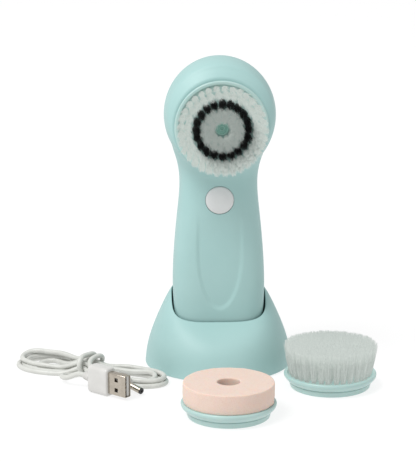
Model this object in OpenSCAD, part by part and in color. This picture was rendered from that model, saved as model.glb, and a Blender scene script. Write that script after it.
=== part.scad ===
// Powered facial cleansing brush with its stand, two spare heads and its charging cable.
// Millimetres. The origin is the centre of the stand's base on the table, +Z is up, and the
// brush faces -Y.

/* [Handset] */
// Greatest half width of the handle
handle_half_w = 25.3; // [24.8:0.1:25.4]
// Greatest half depth of the handle
handle_half_d = 19.2; // [18.6:0.1:19.3]
// Wall thickness of the two housings
wall = 2; // [1.6:0.1:2.2]
// Place of the vertical parting plane between the housings
seam_y = 3; // [2.5:0.1:3.5]
// Upward tilt of the brush axis
face_tilt = 3; // [3]

/* [Button] */
// Radius of the power button
button_r = 7.7; // [7:0.1:7.8]
// Height of the button's centre
button_z = 96.5; // [95:0.5:98]

/* [Brush heads] */
// Radius of a head's outer band
head_r = 25; // [24:0.1:25]
// Radius of a head's lower band
head_foot_r = 22; // [21:0.1:22]
// Thickness of the outer band
head_band_h = 5.3; // [5:0.1:5.5]
// Thickness of the lower band
head_foot_h = 2.6; // [2.4:0.1:2.6]
// Length of the bristles above the band
bristle_h = 13.5; // [12:0.5:15]
// Length of the spare brush's bristles
spare_bristle_h = 16; // [14:0.5:17]
// Thickness of the sponge
sponge_h = 10.6; // [9:0.1:12]
// Radius of the sponge
sponge_r = 24; // [23:0.1:24.2]

/* [Stand] */
// Radius of the stand at the table
base_r = 41; // [40.5:0.1:41.5]
// Height of the rim beside the handset
side_rim_z = 42.6; // [42:0.1:44]
// Height of the rim behind the handset
back_rim_z = 50.5; // [49:0.5:52]
// Rise of the rim per millimetre from front to back
lip_slope = 0.68; // [0.6:0.01:0.7]
// Gap between the handset and its pocket
pocket_gap = 0.6; // [0.5:0.05:0.7]

/* [Drive] */
// Gear module
gear_m = 0.5; // [0.5]
// Teeth of the motor pinion
motor_teeth = 10; // [10]
// Teeth of the crown gear
crown_teeth = 30; // [30]
// Teeth of the small idler gear
idler_teeth = 12; // [12]
// Teeth of the output gear
output_teeth = 36; // [36]

/* [Cable] */
// Diameter of the cable
cable_d = 2.8; // [2.8]

/* [Hidden] */
$fn = 64;
hair = 0.01;

// ---- Places that several parts share ----
handset_z = 8;
elbow_y = -29;
elbow_z = 106;
face_r = 34.7;
face_turn = 90 - face_tilt;
face_y = elbow_y + face_r * cos(face_turn);
face_z = elbow_z + face_r * sin(face_turn);

// Along the brush axis, measured from the elbow plane, outward positive
rim_s = 7;
recess_floor_s = 3;
head_s = 4.7;
spindle_front_s = 11.5;
spindle_back_s = -35.2;
frame_front_s = -13.5;
frame_plate_t = 1.8;
rear_plate_s = -33.6;
motor_s = -30;
output_gear_s = -24;
output_gear_w = 4;

// Across the brush axis, upward positive
idler_v = -(idler_teeth + output_teeth) * gear_m / 2;
motor_top_v = -24;
motor_len = 25;
pinion_v = idler_v - crown_teeth * gear_m / 2;
pinion_r = motor_teeth * gear_m / 2;
spindle_r = 2;
run_gap = 0.05;
head_total_h = head_foot_h + head_band_h;
head_recess_r = head_r - 2.1;
head_recess_d = 0.8;

jack_y = -4;
board_y = -9.7;
board_t = 1.2;
battery_y = 3.5;
battery_z = 26;
battery_r = 7;
battery_len = 50;

sponge_at = [1.2, -93.4, 0];
spare_at = [58.5, -46.4, 0];
usb_at = [-51, -67.5, 7.75];
dc_at = [-43.5, -59.5, 2.3];
plug_turn = -42;
dc_dip = 12;
hank_left = [-98.5, -7.2];
hank_right = [-41.5, -37.9];
hank_r = 12;
hank_h = 11;
usb_route = [[-74, -46.8, 7.75], [-77.5, -43.4, 7.3], [-81, -39, 6.4], [-83.6, -34.4, 5.4],
    [-84.3, -28.5, 5]];
dc_route = [[-61.67, -43.14, 7.5], [-63.7, -41.3, 7.9], [-65.6, -39.2, 7.9], [-67.2, -36.8, 7.2],
    [-68.2, -34.5, 6.2]];

// Housing screws: [x, z]
housing_screw_at = [[-17, 26], [17, 26], [-16.5, 82], [16.5, 82], [-18.5, 130], [18.5, 130]];
gearbox_screw_at = [[-10.5, 9], [10.5, 9], [-8.8, -17], [8.8, -17]];
stand_screw_at = [45, 135, 225, 315];
stand_screw_r = 31;

mint = [0.68, 0.84, 0.83];
white = [0.93, 0.94, 0.93];
steel = [0.72, 0.72, 0.72];
brass = [0.8, 0.66, 0.36];
dark = [0.12, 0.12, 0.12];

// Points round each ring of the lofted forms
ring_n = 40;

// ---- Small helpers ----
function signed_pow(v, p) = sign(v) * pow(abs(v), p);

// A closed outline with one squareness for its back half and another for its front half
function superellipse(a, b, back_n, front_n) =
    [for (i = [0 : ring_n - 1]) let (t = 360 * i / ring_n, n = sin(t) < 0 ? front_n : back_n)
        [a * signed_pow(cos(t), 2 / n), b * signed_pow(sin(t), 2 / n)]];

function smooth(p0, p1, p2, p3, u) =
    0.5 * (2 * p1 + (p2 - p0) * u + (2 * p0 - 5 * p1 + 4 * p2 - p3) * u * u
        + (3 * p1 - p0 - 3 * p2 + p3) * u * u * u);

function soft_min(a, b, k) = min(a, b) - k * ln(1 + exp(-abs(a - b) / k));

// Faces of a closed tube of rings, each with count points, and a flat or fanned cap at each end
function tube_faces(rings, count) = concat(
    [for (r = [0 : rings - 2], k = [0 : count - 1]) let (n = (k + 1) % count)
        [r * count + k, (r + 1) * count + k, (r + 1) * count + n]],
    [for (r = [0 : rings - 2], k = [0 : count - 1]) let (n = (k + 1) % count)
        [r * count + k, (r + 1) * count + n, r * count + n]],
    [[for (k = [0 : count - 1]) k]],
    [[for (k = [count - 1 : -1 : 0]) (rings - 1) * count + k]]);

// Puts children in the brush axis frame: +Z outward along the spindle, +Y up
module on_face(v = 0, s = 0) {
    translate([0, face_y, face_z])
        rotate([face_turn, 0, 0])
            translate([0, v, s])
                children();
}

// The same, with the children's +Z turned up along the motor shaft
module on_motor() {
    on_face(0, motor_s)
        rotate([-90, 0, 0])
            children();
}

// ---- Handset form ----
// Handle sections: [z, centre_y, half_width, half_depth, back_squareness, front_squareness]
handle_rows = [
    [handset_z, 0.5, handle_half_w - 4, handle_half_d - 3.6, 2.6, 4],
    [handset_z + 1.4, 0.5, handle_half_w - 2.2, handle_half_d - 2, 2.6, 4],
    [handset_z + 5, 0.5, handle_half_w - 1.1, handle_half_d - 1.1, 2.6, 4],
    [handset_z + 13, 0.4, handle_half_w - 0.4, handle_half_d - 0.5, 2.6, 4],
    [32, 0.2, handle_half_w - 0.1, handle_half_d - 0.1, 2.6, 4],
    [48, 0, handle_half_w, handle_half_d, 2.6, 4],
    [66, 0, 24.5, 18.6, 2.6, 3.8],
    [84, 0, 22.9, 17.6, 2.5, 3.4],
    [97, 0, 21.5, 17, 2.4, 3]];

// Elbow sections, fanning about the elbow:
// [turn, inner_radius, outer_radius, half_width, back_squareness, front_squareness]
elbow_rows = [
    [0, 12, 46.2, 21.3, 2.3, 2.7],
    [20, 11.4, 49.4, 22.8, 2.2, 2.4],
    [38, 10.2, 56, 25.4, 2.1, 2.2],
    [54, 9.2, 65.6, 27.8, 2, 2],
    [70, 8.6, 72.4, 30.2, 2, 2],
    [face_turn, 8.4, 68.2, 29.2, 2, 2]];

// Sections parallel to the face:
// [distance, lower_radius, upper_radius, half_width, back_squareness, front_squareness]
face_rows = [
    [3.5, 8.6, 65, 28.2, 2, 2],
    [rim_s, 8.8, 60.6, 26, 2, 2]];
cavity_face_rows = [
    [1, 8.4, 67.4, 28.9, 2, 2]];

// Every section as [centre_y, centre_z, turn, half_width, half_depth, back_squareness, front_squareness]
function handle_part(rows) = [for (q = rows) [q[1], q[0], 0, q[2], q[3], q[4], q[5]]];
function elbow_part(rows) = [for (q = rows) let (m = (q[1] + q[2]) / 2)
    [elbow_y + m * cos(q[0]), elbow_z + m * sin(q[0]), q[0], q[3], (q[2] - q[1]) / 2, q[4], q[5]]];
function face_part(rows) = [for (q = rows) let (m = (q[1] + q[2]) / 2)
    [elbow_y - q[0] * sin(face_turn) + m * cos(face_turn),
     elbow_z + q[0] * cos(face_turn) + m * sin(face_turn),
     face_turn, q[3], (q[2] - q[1]) / 2, q[4], q[5]]];

function refine(rows, steps) = let (last = len(rows) - 1) concat(
    [for (i = [0 : last - 1], j = [0 : steps - 1]) smooth(
        i == 0 ? 2 * rows[0] - rows[1] : rows[i - 1], rows[i], rows[i + 1],
        i == last - 1 ? 2 * rows[last] - rows[last - 1] : rows[i + 2], j / steps)],
    [rows[last]]);

function ring_points(q, inset) = [for (p = superellipse(q[3] - inset, q[4] - inset, q[5], q[6]))
    [p[0], q[0] + p[1] * cos(q[2]), q[1] + p[1] * sin(q[2])]];

module loft(rows, inset) {
    rings = [for (q = rows) ring_points(q, inset)];
    polyhedron([for (r = rings) for (p = r) p], tube_faces(len(rings), ring_n), convexity = 6);
}

module handset_form() {
    loft(refine(concat(handle_part(handle_rows), elbow_part(elbow_rows), face_part(face_rows)), 3), 0);
}

module handset_cavity() {
    floor_z = handset_z + wall + 0.4;
    cavity_rows = [for (q = handle_rows) if (q[0] > handset_z)
        [max(q[0], floor_z), q[1], q[2], q[3], q[4], q[5]]];
    loft(refine(concat(handle_part(cavity_rows), elbow_part(elbow_rows), face_part(cavity_face_rows)), 2),
        wall);
}

module handset_side(front) {
    far = 120;
    translate([-far, front ? seam_y - far : seam_y, -1])
        cube([2 * far, far, 200]);
}

module housing_bosses() {
    for (q = housing_screw_at)
        translate([q[0], -30, q[1]])
            rotate([-90, 0, 0])
                cylinder(r = 3.3, h = 60);
}

// Bosses that carry the gearbox behind the face plate
module gearbox_bosses() {
    for (q = gearbox_screw_at)
        on_face(q[1], frame_front_s)
            translate([q[0], 0, 0])
                cylinder(r = 2.6, h = 1.2 - frame_front_s);
}

module front_housing() {
    color(mint)
        resize([0, 0, 0])
            difference() {
                union() {
                    difference() {
                        handset_form();
                        handset_cavity();
                    }
                    intersection() {
                        handset_form();
                        housing_bosses();
                    }
                    gearbox_bosses();
                }
                handset_side(false);
                on_face(0, recess_floor_s)
                    cylinder(r = head_foot_r + 1, h = 20);
                on_face(0, -5)
                    cylinder(r = 5.2, h = 12);
                for (q = gearbox_screw_at)
                    on_face(q[1], frame_front_s - 1)
                        translate([q[0], 0, 0])
                            cylinder(r = 1.3, h = 10, $fn = 24);
                for (q = housing_screw_at)
                    translate([q[0], -9, q[1]])
                        rotate([-90, 0, 0])
                            cylinder(r = 1.5, h = 20, $fn = 24);
                translate([0, -30, button_z])
                    rotate([-90, 0, 0])
                        cylinder(r = button_r + 0.35, h = 20);
                translate([0, -12.6, button_z])
                    rotate([-90, 0, 0])
                        cylinder(r = button_r + 2, h = 10);
                translate([0, -13.6 + hair, button_z])
                    rotate([-90, 0, 0])
                        cylinder(r = button_r + 1.4, h = 2);
                translate([0, jack_y, handset_z - 1])
                    cylinder(r = 3.2, h = 5);
            }
}

module rear_housing() {
    color(mint)
        resize([0, 0, 0])
            difference() {
                union() {
                    difference() {
                        handset_form();
                        handset_cavity();
                    }
                    intersection() {
                        handset_form();
                        housing_bosses();
                    }
                }
                handset_side(true);
                for (q = housing_screw_at) {
                    translate([q[0], seam_y - 1, q[1]])
                        rotate([-90, 0, 0])
                            cylinder(r = 1.6, h = 40, $fn = 24);
                    translate([q[0], seam_y + 4, q[1]])
                        rotate([-90, 0, 0])
                            cylinder(r = 2.5, h = 40, $fn = 32);
                }
            }
}

module screw(head_radius, head_h, shank_r, shank_h) {
    difference() {
        union() {
            cylinder(r = head_radius, h = head_h);
            translate([0, 0, -shank_h])
                cylinder(r = shank_r, h = shank_h + hair);
        }
        for (a = [0, 90])
            rotate([0, 0, a])
                translate([-head_radius * 0.6, -0.3, head_h - 0.7])
                    cube([head_radius * 1.2, 0.6, 2]);
    }
}

module housing_screws() {
    color(steel)
        for (q = housing_screw_at)
            translate([q[0], seam_y + 4, q[1]])
                rotate([-90, 0, 0])
                    screw(2.2, 1.6, 1.2, 13);
}

// ---- Button, board and power ----
module power_button() {
    dome_y = -18.5;
    flange_y = -13.4;
    color(white)
        translate([0, 0, button_z])
            rotate([90, 0, 0])
                rotate_extrude()
                    polygon(concat(
                        [[0, -flange_y - 0.7], [button_r + 0.9, -flange_y - 0.7],
                         [button_r + 0.9, -flange_y], [button_r, -flange_y]],
                        [for (i = [0 : 8]) let (t = 90 * i / 8)
                            [button_r * cos(t), -dome_y - 1.6 + 1.6 * sin(t)]]));
}

module tactile_switch() {
    color(dark)
        translate([0, board_y, button_z])
            rotate([90, 0, 0])
                union() {
                    translate([-3, -3, 0])
                        cube([6, 6, 1.5]);
                    translate([0, 0, 1.4])
                        cylinder(r = 1.6, h = 0.9);
                }
}

module circuit_board() {
    color([0.16, 0.42, 0.26])
        difference() {
            translate([-10, board_y, 24])
                cube([20, board_t, 80]);
            for (z = [27, 101])
                translate([7.5, board_y - 1, z])
                    rotate([-90, 0, 0])
                        cylinder(r = 1.1, h = 4);
        }
}

module board_components() {
    color(dark)
        union() {
            for (q = [[-6, 40, 5, 4, 1.2], [2, 42, 4, 4, 1], [-5, 58, 3, 2, 0.8], [3, 60, 4, 3, 1.4],
                      [-7, 72, 6, 5, 1.6], [2, 76, 3, 2, 0.8], [-5, 84, 2, 1.2, 0.8]])
                translate([q[0], board_y - q[4], q[1]])
                    cube([q[2], q[4], q[3]]);
        }
}

module battery_cell() {
    color([0.25, 0.45, 0.7])
        translate([0, battery_y, battery_z])
            union() {
                cylinder(r = battery_r, h = battery_len - 1);
                cylinder(r = 2.5, h = battery_len);
            }
}

module battery_tabs() {
    tab_t = 0.3;
    color(steel)
        for (z = [battery_z - tab_t, battery_z + battery_len])
            translate([-2, board_y + board_t, z])
                cube([4, battery_y + 2.5 - board_y - board_t, tab_t]);
}

module battery_cradle() {
    color([0.3, 0.3, 0.32])
        difference() {
            union() {
                translate([0, battery_y, battery_z - 1.8])
                    cylinder(r = battery_r + 1.8, h = battery_len + 3.6);
                for (z = [36, 62])
                    translate([-1.5, battery_y + battery_r, z])
                        cube([3, 6, 4]);
            }
            translate([0, battery_y, battery_z - 0.4])
                cylinder(r = battery_r + 0.3, h = battery_len + 0.8);
            translate([-20, battery_y - 20, battery_z - 5])
                cube([40, 20 + 2.6, battery_len + 10]);
        }
}

module dc_jack_body() {
    color(dark)
        translate([0, jack_y, handset_z])
            difference() {
                union() {
                    translate([-4.5, -4.4, 2.6])
                        cube([9, 8.8, 10.1]);
                    translate([0, 0, 0.3])
                        cylinder(r = 2.95, h = 3);
                }
                translate([0, 0, -1])
                    cylinder(r = 1.85, h = 11.2);
            }
}

module dc_jack_pin() {
    color(steel)
        translate([0, jack_y, handset_z + 1.8])
            cylinder(r = 0.5, h = 8.4);
}

// ---- Motor ----
module can_outline(r, half_flat, h) {
    intersection() {
        cylinder(r = r, h = h);
        translate([-r, -half_flat, 0])
            cube([2 * r, 2 * half_flat, h]);
    }
}

module motor_can() {
    color(steel)
        on_motor()
            translate([0, 0, motor_top_v - motor_len])
                difference() {
                    union() {
                        can_outline(10.2, 7.5, motor_len);
                        translate([0, 0, motor_len - hair])
                            cylinder(r = 3, h = 1.4);
                    }
                    translate([0, 0, -hair])
                        can_outline(9.7, 7.1, motor_len - 0.8);
                    cylinder(r = 1.08, h = motor_len + 5);
                }
}

module motor_end_cap() {
    color(white)
        on_motor()
            translate([0, 0, motor_top_v - motor_len])
                difference() {
                    union() {
                        translate([0, 0, 0.2])
                            can_outline(9.6, 7, 1.6);
                        translate([0, 0, -1])
                            cylinder(r = 2.6, h = 1.3);
                    }
                    translate([0, 0, -2])
                        cylinder(r = 1.08, h = 6);
                }
}

module motor_magnets() {
    color([0.2, 0.2, 0.22])
        on_motor()
            for (side = [0, 180])
                rotate([0, 0, side])
                    translate([0, 0, motor_top_v - 20])
                        intersection() {
                            difference() {
                                can_outline(9.6, 7, 15);
                                translate([0, 0, -1])
                                    cylinder(r = 7.6, h = 17);
                            }
                            translate([2, -20, 0])
                                cube([20, 40, 15]);
                        }
}

module motor_leads() {
    lead_len = 3;
    color([0.75, 0.15, 0.12])
        on_motor()
            for (x = [-5, 5])
                translate([x, 0, motor_top_v - motor_len + 0.2 - lead_len])
                    cylinder(r = 0.6, h = lead_len);
}

module motor_rotor() {
    color(brass)
        on_motor()
            translate([0, 0, motor_top_v])
                union() {
                    translate([0, 0, -20])
                        cylinder(r = 6.6, h = 14);
                    translate([0, 0, -22.8])
                        cylinder(r = 2.4, h = 3);
                    translate([0, 0, -25.8])
                        cylinder(r = 1, h = 25.8 - motor_top_v + pinion_v + 3);
                }
}

// ---- Gears ----
tooth_root = 0.24;
tooth_pitch = 0.15;
tooth_tip = 0.08;

// Outline of a spur gear with slim straight-sided teeth, one tooth on +X turned by phase
function gear_outline(teeth, phase) = [for (i = [0 : teeth - 1]) each
    let (c = 360 * i / teeth + phase, p = 360 / teeth, r = teeth * gear_m / 2)
        [for (q = [[r - 0.6 * 2 * gear_m, -tooth_root], [r, -tooth_pitch], [r + gear_m, -tooth_tip],
                   [r + gear_m, tooth_tip], [r, tooth_pitch], [r - 0.6 * 2 * gear_m, tooth_root]])
            [q[0] * cos(c + q[1] * p), q[0] * sin(c + q[1] * p)]]];

module spur(teeth, phase, h) {
    linear_extrude(h)
        polygon(gear_outline(teeth, phase));
}

module motor_pinion() {
    color(brass)
        on_motor()
            translate([0, 0, pinion_v - 2.8])
                difference() {
                    spur(motor_teeth, -90, 5.6);
                    translate([0, 0, -1])
                        cylinder(r = 1, h = 8);
                }
}

// Face teeth of the crown gear, pointing back towards the motor
module crown_tooth() {
    pitch = 3.14159 * gear_m;
    translate([crown_teeth * gear_m / 2 - 0.8, 0, 0])
        rotate([90, 0, 90])
            linear_extrude(1.6)
                polygon([[-pitch * tooth_root, 0.1], [-pitch * tooth_tip, -1.1], [pitch * tooth_tip, -1.1],
                         [pitch * tooth_root, 0.1]]);
}

module idler_gear() {
    crown_root_s = motor_s + pinion_r + 0.6;
    color(white)
        on_face(idler_v, crown_root_s)
            difference() {
                union() {
                    cylinder(r = crown_teeth * gear_m / 2 + 0.8, h = 1.5);
                    for (i = [0 : crown_teeth - 1])
                        rotate([0, 0, 360 * i / crown_teeth])
                            crown_tooth();
                    translate([0, 0, 1.4])
                        spur(idler_teeth, 180 / idler_teeth,
                            output_gear_s + output_gear_w + 0.4 - crown_root_s - 1.4);
                }
                translate([0, 0, -5])
                    cylinder(r = 1 + run_gap, h = 20);
            }
}

module idler_shaft() {
    color(steel)
        on_face(idler_v, rear_plate_s - frame_plate_t)
            cylinder(r = 1, h = frame_front_s - rear_plate_s + frame_plate_t);
}

module output_gear() {
    color(white)
        on_face(0, output_gear_s)
            difference() {
                spur(output_teeth, 0, output_gear_w);
                translate([0, 0, -1])
                    cylinder(r = spindle_r, h = 8);
            }
}

module drive_section(r, flat_x, h) {
    intersection() {
        cylinder(r = r, h = h);
        translate([-2 * r, -2 * r, 0])
            cube([2 * r + flat_x, 4 * r, h]);
    }
}

module output_spindle() {
    flat_from_s = 4;
    color(steel)
        union() {
            on_face(0, spindle_back_s)
                cylinder(r = spindle_r, h = flat_from_s - spindle_back_s);
            on_face(0, flat_from_s)
                drive_section(spindle_r, 1.5, spindle_front_s - flat_from_s);
        }
}

module spindle_clip() {
    color(steel)
        on_face(0, frame_front_s + 0.65)
            difference() {
                cylinder(r = 4, h = 0.8);
                translate([0, 0, -1])
                    cylinder(r = spindle_r, h = 3);
                translate([-1, 0, -1])
                    cube([2, 6, 3]);
            }
}

// ---- Gearbox ----
module gearbox_frame() {
    half_w = 13;
    side_t = 1.6;
    depth = frame_front_s - rear_plate_s;
    color([0.82, 0.82, 0.8])
        on_face()
            difference() {
                union() {
                    translate([-half_w, motor_top_v, frame_front_s - frame_plate_t])
                        cube([2 * half_w, 12 - motor_top_v, frame_plate_t]);
                    translate([-half_w, motor_top_v, rear_plate_s])
                        cube([2 * half_w, 1.5, depth]);
                    for (x = [-half_w, half_w - side_t])
                        translate([x, motor_top_v, rear_plate_s])
                            cube([side_t, 4.5 - motor_top_v, depth]);
                }
                translate([0, motor_top_v - 1, motor_s])
                    rotate([-90, 0, 0])
                        cylinder(r = 3.15, h = 4);
                translate([0, 0, frame_front_s - 5])
                    cylinder(r = 3.5, h = 10);
                translate([0, idler_v, frame_front_s - 5])
                    cylinder(r = 1, h = 10);
                for (q = gearbox_screw_at)
                    translate([q[0], q[1], frame_front_s - 5])
                        cylinder(r = 1.3, h = 10);
            }
}

module gearbox_rear_plate() {
    color([0.82, 0.82, 0.8])
        on_face(0, rear_plate_s - frame_plate_t)
            difference() {
                translate([-13, motor_top_v, 0])
                    cube([26, 4.5 - motor_top_v, frame_plate_t]);
                translate([0, 0, -1])
                    cylinder(r = 3.5, h = 5);
                translate([0, idler_v, -1])
                    cylinder(r = 1, h = 5);
            }
}

module gearbox_screws() {
    color(steel)
        for (q = gearbox_screw_at)
            on_face(q[1], frame_front_s - frame_plate_t)
                translate([q[0], 0, 0])
                    rotate([180, 0, 0])
                        screw(2, 1.3, 1.1, 8);
}

module bushing(h) {
    difference() {
        cylinder(r = 3.5, h = h);
        translate([0, 0, -1])
            cylinder(r = spindle_r + run_gap, h = h + 2);
    }
}

module front_bushing() {
    color(brass)
        on_face(0, frame_front_s - frame_plate_t - 0.4)
            bushing(frame_plate_t + 0.8);
}

module rear_bushing() {
    color(brass)
        on_face(0, rear_plate_s - frame_plate_t)
            bushing(frame_plate_t + 0.6);
}

module shaft_seal() {
    color(dark)
        on_face(0, 1.1)
            difference() {
                union() {
                    cylinder(r = 5, h = recess_floor_s - 1.1);
                    translate([0, 0, recess_floor_s - 1.1])
                        cylinder(r = 6.5, h = 0.7);
                }
                translate([0, 0, -1])
                    cylinder(r = spindle_r + 0.06, h = 6);
            }
}

// ---- Heads ----
// Carrier of every head: a lower band that drops into the handset and a wider outer band
module head_carrier() {
    soft = 0.7;
    difference() {
        rotate_extrude($fn = 96)
            polygon([[0, 0], [head_foot_r - soft, 0], [head_foot_r, soft], [head_foot_r, head_foot_h],
                     [head_r - soft, head_foot_h], [head_r, head_foot_h + soft],
                     [head_r, head_total_h - soft], [head_r - soft, head_total_h],
                     [head_recess_r, head_total_h], [head_recess_r, head_total_h - head_recess_d],
                     [0, head_total_h - head_recess_d]]);
        translate([0, 0, -1])
            difference() {
                cylinder(r = head_foot_r - 2, h = 5.4);
                cylinder(r = 4.6, h = 6);
            }
        translate([0, 0, -hair])
            drive_section(spindle_r + run_gap, 1.5 + run_gap, 7);
    }
}

// A band of bristles between two radii that spreads a little towards its tips
module bristle_band(inner, outer, inner_tip, outer_tip, h) {
    rotate_extrude($fn = 72)
        polygon([[inner, 0], [outer, 0], [outer_tip, h], [inner_tip, h]]);
}

module on_mounted_head() {
    on_face(0, head_s + head_total_h - head_recess_d)
        children();
}

module brush_head_base() {
    color([0.72, 0.86, 0.83])
        on_face(0, head_s)
            head_carrier();
}

module brush_hub() {
    color([0.6, 0.82, 0.75])
        on_mounted_head()
            difference() {
                cylinder(r = 3.6, h = 2.4);
                translate([0, 0, 0.9])
                    cylinder(r = 0.9, h = 3);
            }
}

module outer_bristles() {
    color(white)
        on_mounted_head()
            bristle_band(16.9, head_recess_r - 0.2, 17, 24, bristle_h + head_recess_d);
}

module black_bristles() {
    color(dark)
        on_mounted_head()
            bristle_band(11.8, 16.4, 11.8, 16.5, bristle_h + head_recess_d);
}

module inner_bristles() {
    color(white)
        on_mounted_head()
            bristle_band(4, 11.4, 3.9, 11.4, bristle_h + head_recess_d);
}

module sponge_head_base() {
    color([0.7, 0.85, 0.83])
        translate(sponge_at)
            head_carrier();
}

module sponge_pad() {
    color([0.95, 0.85, 0.78])
        translate(sponge_at + [0, 0, head_total_h])
            difference() {
                cylinder(r = sponge_r, h = sponge_h, $fn = 96);
                translate([0, 0, -1])
                    cylinder(r = 6, h = sponge_h + 2);
            }
}

module spare_head_base() {
    color([0.7, 0.85, 0.83])
        translate(spare_at)
            head_carrier();
}

module spare_bristles() {
    color(white)
        translate(spare_at + [0, 0, head_total_h - head_recess_d])
            rotate_extrude($fn = 72)
                polygon([[0, 0], [head_recess_r - 0.2, 0], [24.6, spare_bristle_h + head_recess_d],
                         [0, spare_bristle_h + head_recess_d]]);
}

// ---- Stand ----
flare = 0.445;
knee = 6;
shoulder_z = 11;
rim_blend = 4.5;
stand_rings = 22;

function bell_r(z) = base_r - flare * knee * ln(1 + exp((z - shoulder_z) / knee));
function lip_z(y) = soft_min(side_rim_z + lip_slope * y, back_rim_z, 3);

// One ring of the stand's skin, at the height that the bell would have there without its rim
function stand_ring(bell_z, foot_z, inset) = let (r = bell_r(bell_z) - inset)
    [for (k = [0 : ring_n - 1]) let (a = 360 * k / ring_n, y = r * sin(a))
        [r * cos(a), y, max(foot_z, soft_min(bell_z, lip_z(y), rim_blend) - inset)]];

module stand_form(inset, foot_z) {
    heights = [for (i = [0 : stand_rings]) 84 * pow(i / stand_rings, 1.25)];
    rings = concat(
        [[for (p = stand_ring(0.4, foot_z, inset + 0.8)) [p[0], p[1], foot_z]]],
        [for (h = heights) if (h > 1) stand_ring(h, foot_z + 0.6, inset)]);
    count = ring_n;
    top = len(rings) * count;
    side = tube_faces(len(rings), count);
    last = (len(rings) - 1) * count;
    polyhedron(concat([for (r = rings) for (p = r) p], [[0, 0, lip_z(0) - inset]]),
        concat([for (i = [0 : len(side) - 2]) side[i]],
            [for (k = [0 : count - 1]) [last + (k + 1) % count, last + k, top]]), convexity = 6);
}

module pocket_form(grow, z) {
    translate([0, 0, z])
        linear_extrude(80)
            polygon(superellipse(handle_half_w + pocket_gap + grow,
                handle_half_d + 0.3 + pocket_gap + grow, 2.6, 4));
}

module around_stand() {
    for (a = stand_screw_at)
        rotate([0, 0, a])
            translate([stand_screw_r, 0, 0])
                children();
}

module stand_shell() {
    plate_top = 2.3;
    color(mint)
        resize([0, 0, 0])
            difference() {
                union() {
                    difference() {
                        stand_form(0, 0.4);
                        stand_form(wall, -1);
                    }
                    intersection() {
                        stand_form(0, 0.4);
                        pocket_form(1.5, handset_z - 1.6);
                    }
                    intersection() {
                        stand_form(0.3, 0.4);
                        around_stand()
                            translate([0, 0, plate_top])
                                cylinder(r = 3, h = back_rim_z);
                    }
                }
                pocket_form(0, handset_z);
                around_stand()
                    cylinder(r = 1.4, h = 12, $fn = 24);
            }
}

module stand_base_plate() {
    color([0.6, 0.76, 0.75])
        difference() {
            cylinder(r = base_r - wall - 1.1, h = 2.2, $fn = 96);
            around_stand() {
                translate([0, 0, -1])
                    cylinder(r = 1.5, h = 5);
                translate([0, 0, -1])
                    cylinder(r = 2.7, h = 1.9);
            }
            for (a = [0 : 90 : 270])
                rotate([0, 0, a])
                    translate([29, 0, -1])
                        cylinder(r = 5.1, h = 1.9);
        }
}

module stand_feet() {
    color(dark)
        for (a = [0 : 90 : 270])
            rotate([0, 0, a])
                translate([29, 0, 0])
                    cylinder(r = 5, h = 0.9);
}

module stand_screws() {
    color(steel)
        around_stand()
            translate([0, 0, 0.9])
                rotate([180, 0, 0])
                    screw(2.5, 0.8, 1.15, 9);
}

// ---- Cable ----
// A thin tube along a route, one ring at each point, square to the route there
module cable_tube(route) {
    sides = 8;
    last = len(route) - 1;
    points = [for (i = [0 : last]) let (
        t = route[min(i + 1, last)] - route[max(i - 1, 0)],
        u = t / norm(t),
        a = cross(u, [0, 0, 1]) / norm(cross(u, [0, 0, 1])),
        b = cross(a, u))
        for (k = [0 : sides - 1]) let (turn = 360 * k / sides)
            route[i] + cable_d / 2 * (a * cos(turn) + b * sin(turn))];
    polyhedron(points, tube_faces(last + 1, sides), convexity = 4);
}

module hank_outline(grow) {
    run = hank_right - hank_left;
    for (p = [hank_left, hank_right])
        translate(p)
            circle(r = hank_r + grow);
    translate(hank_left)
        rotate([0, 0, atan2(run[1], run[0])])
            translate([0, -hank_r - grow])
                square([norm(run), 2 * (hank_r + grow)]);
}

module cable_hank() {
    color(white)
        linear_extrude(hank_h)
            hank_outline(0);
}

module cable_usb_lead() {
    color(white)
        cable_tube(usb_route);
}

module cable_dc_lead() {
    color(white)
        cable_tube(dc_route);
}

module cable_tie() {
    run = hank_right - hank_left;
    band_w = 3;
    band_t = 1.2;
    color(white)
        translate(hank_left * 0.54 + hank_right * 0.46)
            rotate([0, 0, atan2(run[1], run[0])])
                difference() {
                    translate([-band_w / 2, -hank_r - band_t, 0])
                        cube([band_w, 2 * (hank_r + band_t), hank_h + band_t]);
                    translate([-band_w, -hank_r, -1])
                        cube([2 * band_w, 2 * hank_r, hank_h + 1]);
                }
}

module at_usb() {
    translate(usb_at)
        rotate([0, 0, plug_turn])
            children();
}

module at_dc() {
    translate(dc_at)
        rotate([0, 0, plug_turn])
            rotate([0, 90 + dc_dip, 0])
                children();
}

module usb_overmold() {
    body_l = 14;
    half_h = 7.75;
    half_t = 4;
    soft = 2;
    color(white)
        at_usb()
            union() {
                translate([-12 - body_l, 0, 0])
                    rotate([90, 0, 90])
                        linear_extrude(body_l)
                            hull()
                                for (y = [-1, 1], z = [-1, 1])
                                    translate([y * (half_t - soft), z * (half_h - soft)])
                                        circle(r = soft, $fn = 32);
                translate([-30.9, 0, 0])
                    rotate([0, 90, 0])
                        cylinder(r1 = 2, r2 = 3, h = 5);
            }
}

module usb_shell() {
    skin = 0.3;
    color(steel)
        at_usb()
            difference() {
                translate([-12, -2.25, -6])
                    cube([12, 4.5, 12]);
                translate([-12 + skin, -2.25 + skin, -6 + skin])
                    cube([12, 4.5 - 2 * skin, 12 - 2 * skin]);
                for (z = [-2.8, 2.8])
                    translate([-7.4, -5, z - 1.1])
                        cube([2.3, 10, 2.2]);
            }
}

module usb_tongue() {
    color(dark)
        at_usb()
            translate([-11.7, 0.1, -5.6])
                cube([10.9, 1.75, 11.2]);
}

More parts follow.
